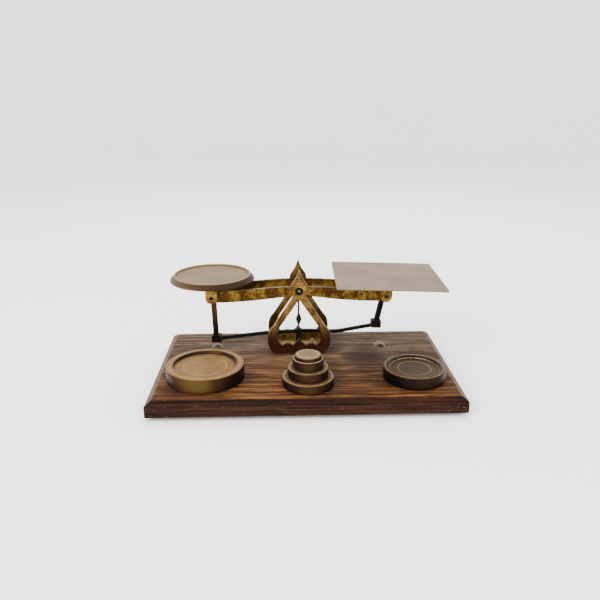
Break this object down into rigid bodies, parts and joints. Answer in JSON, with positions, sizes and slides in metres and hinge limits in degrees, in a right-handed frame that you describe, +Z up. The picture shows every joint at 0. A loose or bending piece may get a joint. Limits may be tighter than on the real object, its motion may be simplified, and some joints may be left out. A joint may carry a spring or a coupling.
{
  "type": "letter scale",
  "caption": "Brass letter balance with twin-bar beam, round weights pan, square letter plate and hanging pointer, on a bevelled oak board with turned disc weights.",
  "frame": {"origin": "centre of the oak board's outline, on the surface that its feet stand on", "axes": "+X towards the letter plate, +Y away from the user, +Z up"},
  "size_m": [0.288, 0.1742, 0.1089],
  "materials": {
    "oak": "worn satin varnish over open-grained oak",
    "ebonised_wood": "black stained",
    "steel": "dull",
    "nickel": "worn nickel plate",
    "frame_brass": "lacquered casting with dark patina",
    "beam_brass": "patchy old lacquer",
    "dark_steel": "blued",
    "black_iron": "blackened",
    "pan_brass": "dull satin",
    "weight_brass": "handled bronze patina"
  },
  "bodies": {
    "root": {"oak_base": "oak", "base_feet": "ebonised_wood", "foot_screws": "steel", "stop_stud_left": "nickel", "stop_stud_right": "nickel", "front_frame": "frame_brass", "rear_frame": "frame_brass", "pivot_bushes": "dark_steel", "floor_plate": "frame_brass", "frame_rivets": "frame_brass", "floor_screws": "frame_brass", "stay_post": "black_iron", "stay_post_pin": "dark_steel"},
    "beam": {"beam_front_bar": "beam_brass", "beam_rear_bar": "beam_brass", "beam_arbor": "dark_steel", "beam_spacers": "beam_brass", "beam_pins_left": "dark_steel", "beam_pins_right": "dark_steel", "pointer": "black_iron"},
    "left_carrier": {"pan_carrier_left": "beam_brass", "leg_left": "black_iron", "stay_pin_left": "dark_steel", "pan_seat_left": "beam_brass", "pan_rivets_left": "pan_brass", "weights_pan": "pan_brass"},
    "right_carrier": {"pan_carrier_right": "beam_brass", "leg_right": "black_iron", "stay_pin_right": "dark_steel", "pan_seat_right": "beam_brass", "pan_rivets_right": "pan_brass", "letter_plate": "pan_brass"},
    "stay_link": {"stay": "black_iron"},
    "pound_weight": {"weight_16oz": "weight_brass"},
    "half_pound_weight": {"weight_8oz": "weight_brass"},
    "four_ounce_weight": {"weight_4oz": "weight_brass"},
    "two_ounce_weight": {"weight_2oz": "weight_brass"},
    "one_ounce_weight": {"weight_1oz": "weight_brass"},
    "half_ounce_weight": {"weight_half_oz": "weight_brass"}
  },
  "joints": [
    {"name": "beam_tilt", "type": "hinge", "parent": "root", "child": "beam", "pos_m": [-0.0044, 0.039, 0.0871], "axis": [0, 1, 0], "range_deg": [-2.5, 5]},
    {"name": "left_carrier_pivot", "type": "hinge", "parent": "beam", "child": "left_carrier", "pos_m": [-0.0924, 0.039, 0.0795], "axis": [0, 1, 0], "range_deg": [-5, 2.5]},
    {"name": "right_carrier_pivot", "type": "hinge", "parent": "beam", "child": "right_carrier", "pos_m": [0.0836, 0.039, 0.0795], "axis": [0, 1, 0], "range_deg": [-5, 2.5]},
    {"name": "stay_tilt", "type": "hinge", "parent": "root", "child": "stay_link", "pos_m": [-0.0044, 0.039, 0.0367], "axis": [0, 1, 0], "range_deg": [-2.5, 5]},
    {"name": "pound_lift", "type": "slide", "parent": "root", "child": "pound_weight", "axis": [0, 0, 1], "range_m": [0, 0.03]},
    {"name": "half_pound_lift", "type": "slide", "parent": "root", "child": "half_pound_weight", "axis": [0, 0, 1], "range_m": [0, 0.03]},
    {"name": "four_ounce_lift", "type": "slide", "parent": "root", "child": "four_ounce_weight", "axis": [0, 0, 1], "range_m": [0, 0.03]},
    {"name": "two_ounce_lift", "type": "slide", "parent": "four_ounce_weight", "child": "two_ounce_weight", "axis": [0, 0, 1], "range_m": [0, 0.03]},
    {"name": "one_ounce_lift", "type": "slide", "parent": "two_ounce_weight", "child": "one_ounce_weight", "axis": [0, 0, 1], "range_m": [0, 0.03]},
    {"name": "half_ounce_lift", "type": "slide", "parent": "one_ounce_weight", "child": "half_ounce_weight", "axis": [0, 0, 1], "range_m": [0, 0.03]}
  ],
  "couplings": [
    {"joint": "left_carrier_pivot", "follows": "beam_tilt", "ratio": -1},
    {"joint": "right_carrier_pivot", "follows": "beam_tilt", "ratio": -1},
    {"joint": "stay_tilt", "follows": "beam_tilt", "ratio": 1}
  ]
}
